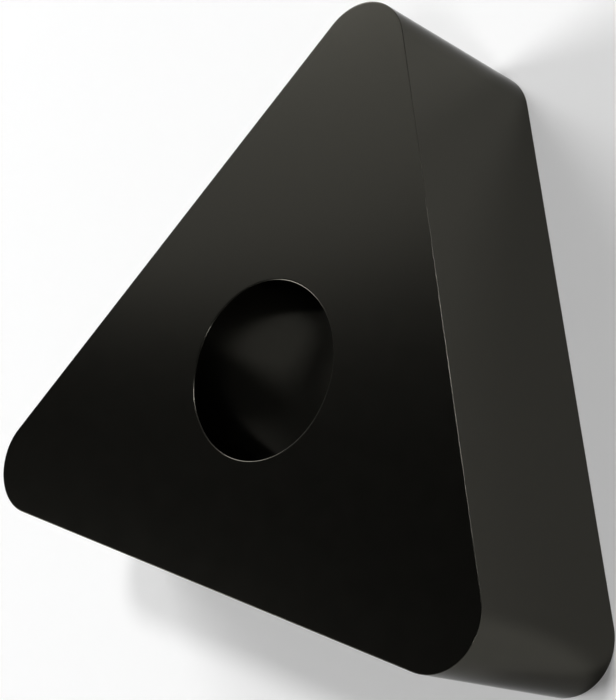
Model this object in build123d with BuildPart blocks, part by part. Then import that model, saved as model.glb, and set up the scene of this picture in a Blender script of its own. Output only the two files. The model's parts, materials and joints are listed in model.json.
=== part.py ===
"""A triangular carbide insert for turning, modelled in millimetres.

It is one sintered piece: a thick triangular plate with three rounded cutting corners, flanks
square to its faces, no chip groove and a straight bore for the clamping pin. Both faces are
alike, so all six corners can cut. It lies on its seat face at z = 0, with +Z up the bore,
the origin on the bore's axis and +Y towards one cutting corner.
"""

from build123d import *
import os

# driving dimensions
inscribed_circle = 19.05  # diameter of the circle that touches the three flanks
thickness = 9.525  # from the seat face to the top face
corner_radius = 2.4  # radius of each cutting corner, seen from above
bore_diameter = 7.94  # straight hole for the clamping pin
edge_hone = 0.03  # radius brushed onto the cutting edges all round both faces
bore_edge_break = 0.05  # radius on both rims of the bore

corner_count = 3
first_corner_angle = 90.0  # degrees from +X, so that one corner points along +Y

os.makedirs("parts", exist_ok=True)

with BuildPart() as insert:
    # the outline is a regular polygon round the inscribed circle, with its corners rounded
    with BuildSketch(Plane.XY) as outline:
        RegularPolygon(
            radius=inscribed_circle / 2,
            side_count=corner_count,
            major_radius=False,
            rotation=first_corner_angle,
        )
        fillet(outline.vertices(), radius=corner_radius)
    extrude(amount=thickness)

    # the outermost edge loops, top and bottom, are the cutting edges
    levels = insert.edges().group_by(Axis.Z)
    fillet(levels[0] + levels[-1], radius=edge_hone)

    # the hole runs through both faces, and its two new circles are its rims
    Hole(radius=bore_diameter / 2)
    rims = insert.edges(Select.LAST).filter_by(GeomType.CIRCLE)
    fillet(rims, radius=bore_edge_break)

insert.part.label = "insert"
export_step(insert.part, "parts/insert.step")
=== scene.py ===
# %% [markdown]
# # A triangular carbide insert
#
# A turning insert is one small plate of cemented carbide, pressed from powder, sintered until it
# is harder than any steel, and coated with a thin black skin. This lesson dresses such an insert
# for a picture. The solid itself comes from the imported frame; here it gets a finer surface, its
# finish, a floor, lamps and a camera.
#
# Everything is in metres, in the insert's own frame: it lies on z = 0, the bore runs up +Z, and
# one corner points along +Y.

# %% Load the frame
import json
import math

import bpy
import numpy as np
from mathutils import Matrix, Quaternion, Vector


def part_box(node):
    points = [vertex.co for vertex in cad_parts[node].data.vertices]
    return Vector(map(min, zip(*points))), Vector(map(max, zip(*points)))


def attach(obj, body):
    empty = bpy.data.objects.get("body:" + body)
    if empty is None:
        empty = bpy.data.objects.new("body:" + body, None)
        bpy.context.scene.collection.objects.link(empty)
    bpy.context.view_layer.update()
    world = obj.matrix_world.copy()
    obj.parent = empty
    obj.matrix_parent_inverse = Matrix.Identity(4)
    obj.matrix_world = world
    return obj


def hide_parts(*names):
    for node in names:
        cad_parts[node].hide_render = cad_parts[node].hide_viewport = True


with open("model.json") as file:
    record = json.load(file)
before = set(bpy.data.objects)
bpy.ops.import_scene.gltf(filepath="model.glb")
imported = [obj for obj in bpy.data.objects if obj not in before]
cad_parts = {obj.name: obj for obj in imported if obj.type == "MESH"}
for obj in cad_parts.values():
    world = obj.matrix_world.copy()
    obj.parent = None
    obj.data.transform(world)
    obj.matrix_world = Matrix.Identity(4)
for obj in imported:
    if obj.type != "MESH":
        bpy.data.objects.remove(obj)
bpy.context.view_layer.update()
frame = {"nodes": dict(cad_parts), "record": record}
print("nodes:", sorted(frame["nodes"]))

# %% [markdown]
# ## The insert's sizes
#
# The frame already holds nearly every size, so none of them is typed twice. The lowest flank
# touches the inscribed circle, so its distance from the bore's axis is that circle's radius. A
# rounded corner ends at twice that radius less its own radius, which gives the corner radius.
# It is rounded to the trade's step of 0.4 mm, because the frame's mesh is a chain of short
# straight pieces and measures a few thousandths too much. The bore's radius is written in the
# record. Only the two tiny edge radii are named here.

# %% Read the sizes
MM = 0.001

low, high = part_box("insert")
thickness = high.z - low.z
inscribed_radius = -low.y
RADIUS_STEP = 0.4 * MM
corner_radius = round((2 * inscribed_radius - high.y) / RADIUS_STEP) * RADIUS_STEP
bore = next(m for m in frame["record"]["mounts"] if m["name"] == "clamping_bore")
bore_radius = bore["dims"]["r_mm"] * MM
edge_hone = 0.03 * MM
rim_radius = 0.05 * MM
print(f"inscribed circle {2 * inscribed_radius / MM:.3f} mm, thickness {thickness / MM:.3f} mm")
print(f"corner radius {corner_radius / MM:.3f} mm, bore {2 * bore_radius / MM:.2f} mm")

# %% [markdown]
# ## The outline
#
# The insert's outline is a triangle with round corners. Such a shape can be drawn with straight
# runs and arcs, but there is a neater way to say it. Take the small triangle that joins the
# centres of the three corner arcs, walk round it, and push every point outwards by one and the
# same distance. On a run the centre moves and the direction stays; at a corner the centre stays
# and the direction turns. Any smaller distance gives the same outline moved inwards, which is
# just what a honed edge needs.
#
# The runs are divided by equal angles as seen from the bore, so that the bore, whose points lie
# on the same rays, comes out evenly round.

# %% Walk round the insert
ARC_STEPS = 28
RUN_STEPS = 52
CORNER_ANGLES = [90, 210, 330]


def turned(points, angle):
    """Points in the plane, turned about the origin: (x cos - y sin, x sin + y cos)."""
    c, s = math.cos(angle), math.sin(angle)
    return points @ np.array([[c, s], [-s, c]])


def outline_path():
    """Centres and outward directions once round the insert, counter-clockwise.

    For a corner on +X: through 120 degrees the centre stays at twice (inscribed - corner radius)
    and the direction turns. Then along the next run the direction stays at 60 degrees, and the
    centre is (inscribed - corner radius) out along it plus inscribed radius * tan(angle) across,
    with the angle as seen from the bore. Two more such thirds close the loop.
    """
    core = inscribed_radius - corner_radius
    turn = np.linspace(-math.pi / 3, math.pi / 3, ARC_STEPS, endpoint=False)
    arc_directions = np.stack([np.cos(turn), np.sin(turn)], axis=1)
    arc_centres = np.zeros_like(arc_directions) + (2 * core, 0)

    out = np.array([math.cos(math.pi / 3), math.sin(math.pi / 3)])
    across = np.array([-out[1], out[0]])
    widest = math.atan(math.sqrt(3) * core / inscribed_radius)
    look = np.linspace(-widest, widest, RUN_STEPS, endpoint=False)
    run_centres = core * out + np.outer(inscribed_radius * np.tan(look), across)
    run_directions = np.zeros_like(run_centres) + out

    centres = np.concatenate([arc_centres, run_centres])
    directions = np.concatenate([arc_directions, run_directions])
    corners = np.radians(CORNER_ANGLES)
    return (
        np.concatenate([turned(centres, angle) for angle in corners]),
        np.concatenate([turned(directions, angle) for angle in corners]),
    )


centres, directions = outline_path()
print("points round the outline:", len(centres))

# %% [markdown]
# ## The section
#
# Cut the insert from the bore outwards and the cut is a rectangle: bore wall, top face, flank,
# bottom face. Its four corners are not sharp. The two at the bore are broken by a small radius,
# and the two outer ones are the cutting edges, which are brushed to an even smaller radius so
# that they do not crumble. These radii are hardly wider than a hair, yet they catch a line of
# light, and without them the part looks like a drawing.
#
# A ring just beside each radius keeps the flat faces flat under smooth shading, because the
# bend in the shading is then confined to a few hundredths of a millimetre.

# %% Draw the upper half of the section
ROUND_STEPS = 6
BESIDE = 0.02 * MM
FACE_SHARES = [0.996, 0.8, 0.6, 0.4, 0.2, 0.004]


def quarter(radius):
    """A quarter turn from level to upright, as pairs (radius * sin, radius * (1 - cos))."""
    turn = np.linspace(0, math.pi / 2, ROUND_STEPS + 1)
    return radius * np.sin(turn), radius * (1 - np.cos(turn))


def half_section():
    """Rings from the middle of the bore wall, over the top face, to the middle of the flank.

    Each ring has a share, 0 on the outline and 1 on the bore, its inset from whichever of the
    two it belongs to, and its height. Rings between the two, on the top face, have a share
    between 0 and 1 and are mixed from both.
    """
    middle = thickness / 2
    rise, back = quarter(rim_radius)
    drop, inset = quarter(edge_hone)
    wall = np.array([middle, thickness - rim_radius - BESIDE])
    face = np.array(FACE_SHARES)
    flank = np.array([thickness - edge_hone - BESIDE, middle])
    share = np.concatenate([np.ones(2), np.ones(len(rise)), face, np.zeros(len(drop) + 2)])
    rim_inset = np.concatenate(
        [np.zeros(2), back, np.full(len(face), rim_radius), np.zeros(len(drop) + 2)]
    )
    edge_inset = np.concatenate(
        [np.zeros(2 + len(rise)), np.full(len(face), edge_hone), inset[::-1], np.zeros(2)]
    )
    height = np.concatenate(
        [
            wall,
            thickness - rim_radius + rise,
            np.full(len(face), thickness),
            thickness - edge_hone + drop[::-1],
            flank,
        ]
    )
    return share, rim_inset, edge_inset, height


print("rings in the upper half:", len(half_section()[0]))

# %% [markdown]
# ## Carrying the section round the outline
#
# The whole surface is now one formula on a grid. One way the grid runs round the outline, the
# other way round the section, and it closes on itself both ways like a ring, so there is no
# seam and no pole. The lower half is the upper half mirrored about mid-height.

# %% Work out the surface
def insert_surface():
    """Grid of points (round the outline, round the section, xyz).

    Outer point = centre + (corner radius - edge inset) * direction. Bore point = (bore radius +
    rim inset) * the unit vector towards the outer wall. Plane position = outer point * (1 -
    share) + bore point * share, at the ring's height.
    """
    upper = np.array(half_section())
    lower = upper[:, -2:0:-1].copy()
    lower[3] = thickness - lower[3]
    share, rim_inset, edge_inset, height = np.concatenate([upper, lower], axis=1)

    wall = centres + corner_radius * directions
    rays = wall / np.linalg.norm(wall, axis=1, keepdims=True)
    reach = (corner_radius - edge_inset)[None, :, None]
    outer = centres[:, None] + reach * directions[:, None]
    inner = (bore_radius + rim_inset)[None, :, None] * rays[:, None]
    mix = share[None, :, None]
    plane = outer * (1 - mix) + inner * mix
    heights = np.broadcast_to(height, plane.shape[:2])
    return np.dstack([plane, heights])


grid = insert_surface()
print("grid:", grid.shape)

# %% [markdown]
# A grid becomes a mesh by numbering its points and joining each to its neighbours. `np.roll`
# shifts the numbers by one and wraps round, which closes the surface both ways at once.

# %% Turn a closed grid into a mesh
def closed_grid_mesh(name, points):
    """Quads that join (i, j), (i + 1, j), (i + 1, j + 1) and (i, j + 1), wrapping both ways."""
    rows, columns = points.shape[:2]
    number = np.arange(rows * columns).reshape(rows, columns)
    ahead = np.roll(number, -1, axis=0)
    corners = [number, ahead, np.roll(ahead, -1, axis=1), np.roll(number, -1, axis=1)]
    quads = np.stack(corners, axis=2)
    mesh = bpy.data.meshes.new(name)
    mesh.from_pydata(points.reshape(-1, 3).tolist(), [], quads.reshape(-1, 4).tolist())
    mesh.shade_smooth()
    mesh.update()
    return mesh


insert_mesh = closed_grid_mesh("coated_insert", grid)
insert = bpy.data.objects.new("coated_insert", insert_mesh)
bpy.context.collection.objects.link(insert)
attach(insert, "root")
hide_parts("insert")
print("quads:", len(insert_mesh.polygons))

# %% [markdown]
# ## Shader arithmetic
#
# A finish is a small calculation, and it reads best as one. `Wire` stands for a socket that
# carries a number: adding, subtracting or multiplying it adds a Math node. `Finish` is a
# material under construction, and its one method adds any other node, with the node's settings
# first and its sockets after.

# %% Helpers for node graphs
def plug(tree, source, socket):
    """Link a wire into a socket, or set the socket to a plain value."""
    if isinstance(source, Wire):
        tree.links.new(source.socket, socket)
    else:
        socket.default_value = source


class Wire:
    """A socket that carries a value. Arithmetic on it adds Math nodes."""

    def __init__(self, tree, socket):
        self.tree = tree
        self.socket = socket

    def math(self, operation, first, second):
        node = self.tree.nodes.new("ShaderNodeMath")
        node.operation = operation
        plug(self.tree, first, node.inputs[0])
        plug(self.tree, second, node.inputs[1])
        return Wire(self.tree, node.outputs[0])

    def __add__(self, other):
        return self.math("ADD", self, other)

    def __radd__(self, other):
        return self.math("ADD", other, self)

    def __sub__(self, other):
        return self.math("SUBTRACT", self, other)

    def __rsub__(self, other):
        return self.math("SUBTRACT", other, self)

    def __mul__(self, other):
        return self.math("MULTIPLY", self, other)

    def __rmul__(self, other):
        return self.math("MULTIPLY", other, self)


class Finish:
    """A material or a world whose node tree is being written."""

    def __init__(self, owner):
        owner.use_nodes = True
        self.tree = owner.node_tree
        self.tree.nodes.clear()

    def node(self, kind, settings, output, **sockets):
        """Add a node: set its settings, then fill its sockets by name, and return one output."""
        made = self.tree.nodes.new(kind)
        for name, value in settings.items():
            setattr(made, name, value)
        for name, value in sockets.items():
            plug(self.tree, value, made.inputs[name.replace("_", " ")])
        return made if output is None else Wire(self.tree, made.outputs[output])

    def ray(self, kind):
        """1 where the ray is of this kind and 0 elsewhere."""
        return self.node("ShaderNodeLightPath", {}, kind)

    def mix_colour(self, share, first, second):
        """A colour that goes from first to second as share goes from 0 to 1."""
        made = self.node("ShaderNodeMix", {"data_type": "RGBA"}, None)
        plug(self.tree, share, made.inputs["Factor"])
        colour_sockets = [s for s in made.inputs if s.type == "RGBA"]
        colour_sockets[0].default_value = first
        colour_sockets[1].default_value = second
        return Wire(self.tree, next(s for s in made.outputs if s.type == "RGBA"))


# %% [markdown]
# ## The coating
#
# The black skin is a hard ceramic a few thousandths of a millimetre thick. It hides the grey
# carbide fully and has almost no colour of its own: what one sees is a weak, slightly warm
# reflection of the room, about one seventeenth of the light, with soft edges. It could be made
# as a black plastic with a clear gloss, but that brightens strongly at a glancing angle, and
# this skin hardly does. A metallic shader with a dark base gives the weak reflection, and its
# specular tint holds the glancing angles down.
#
# Up close such a skin isn't perfectly even. Where it grew a little thicker the reflection is a
# touch softer and the tone shifts by a few hundredths, in patches under a millimetre wide. The
# grains of the carbide show through as a fine unevenness, each grain a few hundredths of a
# millimetre across. Both are noise read at Object coordinates, so they stay fixed to the part.

# %% Coat the insert
COATING_THIN = (0.0600, 0.0580, 0.0492, 1)
COATING_THICK = (0.0560, 0.0540, 0.0460, 1)
COATING_ROUGHNESS = 0.18
ROUGHNESS_SWING = 0.03
GRAZING_TINT = 0.55
PATCH_WIDTH = 0.7 * MM
GRAIN_WIDTH = 0.04 * MM
GRAIN_HEIGHT = 0.00015 * MM


def coating():
    """Roughness = base + swing * (patches - 1/2). Tone goes from thin to thick by patches."""
    material = bpy.data.materials.new("black_coating")
    finish = Finish(material)
    place = finish.node("ShaderNodeTexCoord", {}, "Object")
    patches = finish.node(
        "ShaderNodeTexNoise", {}, "Fac", Vector=place, Scale=1 / PATCH_WIDTH, Detail=3.0
    )
    grain = finish.node(
        "ShaderNodeTexNoise", {}, "Fac", Vector=place, Scale=1 / GRAIN_WIDTH, Detail=2.0
    )
    tone = finish.mix_colour(patches, COATING_THIN, COATING_THICK)
    bumps = finish.node(
        "ShaderNodeBump", {}, "Normal", Height=grain, Strength=1.0, Distance=GRAIN_HEIGHT
    )
    shader = finish.node(
        "ShaderNodeBsdfPrincipled",
        {},
        "BSDF",
        Base_Color=tone,
        Metallic=1.0,
        Roughness=COATING_ROUGHNESS + (patches - 0.5) * ROUGHNESS_SWING,
        Specular_Tint=(GRAZING_TINT, GRAZING_TINT, GRAZING_TINT, 1),
        Normal=bumps,
    )
    finish.node("ShaderNodeOutputMaterial", {}, None, Surface=shader)
    return material


insert_mesh.materials.append(coating())
print("coated with:", insert_mesh.materials[0].name)

# %% [markdown]
# ## The floor
#
# A small part is usually shown on a sheet of pale paper that lies flat under it and
# curves up all round, so that no horizon shows from any side. A plane and a wall would do, but
# they meet in a line. Here a profile, flat first and then a circular arc, is turned round the
# bore's axis.

# %% Shape the sweep
FLAT_RADIUS = 0.4
SWEEP_RADIUS = 0.2
SWEEP_TURN = 80.0
FLAT_STEPS = 12
SWEEP_STEPS = 24
ROUND_ABOUT = 96


def sweep_surface():
    """Grid of points (about the axis, along the profile, xyz).

    The profile is flat out to the flat radius. Then it is flat radius + sweep radius * sin(turn)
    out, and sweep radius * (1 - cos(turn)) up. Each profile point is turned about the axis.
    """
    turn = np.radians(np.linspace(0, SWEEP_TURN, SWEEP_STEPS + 1)[1:])
    flat = np.linspace(FLAT_RADIUS / FLAT_STEPS, FLAT_RADIUS, FLAT_STEPS)
    out = np.concatenate([flat, FLAT_RADIUS + SWEEP_RADIUS * np.sin(turn)])
    up = np.concatenate([np.zeros(FLAT_STEPS), SWEEP_RADIUS * (1 - np.cos(turn))])
    about = np.linspace(0, 2 * math.pi, ROUND_ABOUT, endpoint=False)
    return np.dstack(
        [np.outer(np.cos(about), out), np.outer(np.sin(about), out), np.outer(np.ones(ROUND_ABOUT), up)]
    )


def sweep_mesh(points):
    """Quads wrap round the axis, and one many-sided face closes the middle, facing up."""
    rows, columns = points.shape[:2]
    number = np.arange(rows * columns).reshape(rows, columns)
    ahead = np.roll(number, -1, axis=0)
    quads = np.stack([number[:, :-1], number[:, 1:], ahead[:, 1:], ahead[:, :-1]], axis=2)
    middle = [number[:, 0].tolist()]
    mesh = bpy.data.meshes.new("floor")
    mesh.from_pydata(points.reshape(-1, 3).tolist(), [], quads.reshape(-1, 4).tolist() + middle)
    mesh.shade_smooth()
    mesh.update()
    return mesh


floor = bpy.data.objects.new("floor", sweep_mesh(sweep_surface()))
bpy.context.collection.objects.link(floor)
print("floor faces:", len(floor.data.polygons))

# %% [markdown]
# The paper is a matt white that sends back nine tenths of the light. A little more is added for
# the eye and for reflections alone, so that it reads as white in the picture and in the black
# skin, while it lights nothing and still takes the insert's shadow.

# %% Make it paper
PAPER_WHITE = 0.9
PAPER_LIFT = 0.04


def paper():
    """Emission strength = lift * (camera ray + glossy ray + transmission ray)."""
    material = bpy.data.materials.new("pale_floor")
    finish = Finish(material)
    seen = finish.ray("Is Camera Ray") + finish.ray("Is Glossy Ray") + finish.ray("Is Transmission Ray")
    shader = finish.node(
        "ShaderNodeBsdfPrincipled",
        {},
        "BSDF",
        Base_Color=(PAPER_WHITE, PAPER_WHITE, PAPER_WHITE, 1),
        Roughness=1.0,
        Specular_IOR_Level=0.0,
        Emission_Color=(1, 1, 1, 1),
        Emission_Strength=seen * PAPER_LIFT,
    )
    finish.node("ShaderNodeOutputMaterial", {}, None, Surface=shader)
    return material


floor.data.materials.append(paper())

# %% [markdown]
# ## The lamps
#
# A black, half-glossy part is lit by what it mirrors more than by what falls on it. An even
# light from everywhere would be simplest, but it leaves such a part flat and grey. So two wide
# lamps stand low beyond the bore and light the paper. A wide faint panel round one of them is
# what the top face mirrors, and it gives the face its slow fade from light to dark. Two small
# lamps stand high enough to light the paper close to the flanks, and to shine down the bore,
# where they light two patches of paper that its wall mirrors.
#
# Each lamp is named by the brightness of its disc, because that is what shows in a reflection.
# A disc of brightness L gives a power of L * pi * its area.

# %% Hang the lamps
LAMP_DISTANCE = 0.8


def towards_point(azimuth, elevation):
    """Unit vector (cos el cos az, cos el sin az, sin el), with both angles in degrees."""
    a, e = math.radians(azimuth), math.radians(elevation)
    return Vector((math.cos(e) * math.cos(a), math.cos(e) * math.sin(a), math.sin(e)))


def soft_lamp(name, azimuth, elevation, width, brightness):
    """A disc that faces the part. Power = brightness * pi * area, area = pi * (width / 2) ** 2."""
    data = bpy.data.lights.new(name, "AREA")
    data.shape = "DISK"
    data.size = width
    data.energy = brightness * math.pi * math.pi * (width / 2) ** 2
    disc = bpy.data.objects.new(name, data)
    direction = towards_point(azimuth, elevation)
    disc.location = direction * LAMP_DISTANCE
    disc.rotation_euler = direction.to_track_quat("Z", "Y").to_euler()
    bpy.context.collection.objects.link(disc)
    print(f"{name}: {data.energy:.2f} W")


soft_lamp("side lamp one", azimuth=150, elevation=28, width=0.4, brightness=7)
soft_lamp("side lamp two", azimuth=210, elevation=28, width=0.4, brightness=11.5)
soft_lamp("face panel", azimuth=150, elevation=31, width=0.7, brightness=0.65)
soft_lamp("bore lamp one", azimuth=100, elevation=68, width=0.12, brightness=54)
soft_lamp("bore lamp two", azimuth=330, elevation=57, width=0.12, brightness=24)

# %% [markdown]
# The room beyond the lamps stays nearly dark, as a studio does. A bright room would fill the
# top face evenly and take its fade away.

# %% Dim the room
ROOM_LEVEL = 0.01

world = bpy.data.worlds.new("studio")
bpy.context.scene.world = world
room = Finish(world)
backdrop = room.node(
    "ShaderNodeBackground",
    {},
    "Background",
    Color=(ROOM_LEVEL, ROOM_LEVEL, ROOM_LEVEL, 1),
    Strength=1.0,
)
room.node("ShaderNodeOutputWorld", {}, None, Surface=backdrop)

# %% [markdown]
# ## The camera
#
# A camera can be aimed by hand or by a constraint, but a few named angles say it exactly. This
# one is close, about 77 mm away, looks down at nearly 47 degrees and is rolled well over
# to one side, so that the flat plate seems to stand on a corner. Its place is its aim point plus
# the distance along the viewing direction, and the roll is a turn about that direction.

# %% Set up the camera
VIEW_AZIMUTH = -3.64
VIEW_ELEVATION = 46.85
VIEW_DISTANCE = 76.67 * MM
VIEW_AIM = Vector((2.28 * MM, 1.32 * MM, thickness))
VIEW_ROLL = -70.24
VIEW_LENS = 93.89
FILM_WIDTH = 36
NEAR_LIMIT = 0.005


def photographer():
    towards = towards_point(VIEW_AZIMUTH, VIEW_ELEVATION)
    data = bpy.data.cameras.new("camera")
    data.lens = VIEW_LENS
    data.sensor_width = FILM_WIDTH
    data.clip_start = NEAR_LIMIT
    camera = bpy.data.objects.new("camera", data)
    camera.location = VIEW_AIM + VIEW_DISTANCE * towards
    level = towards.to_track_quat("Z", "Y")
    camera.rotation_mode = "QUATERNION"
    camera.rotation_quaternion = Quaternion(towards, math.radians(VIEW_ROLL)) @ level
    bpy.context.collection.objects.link(camera)
    return camera


bpy.context.scene.camera = photographer()
bpy.context.scene.view_settings.view_transform = "Standard"
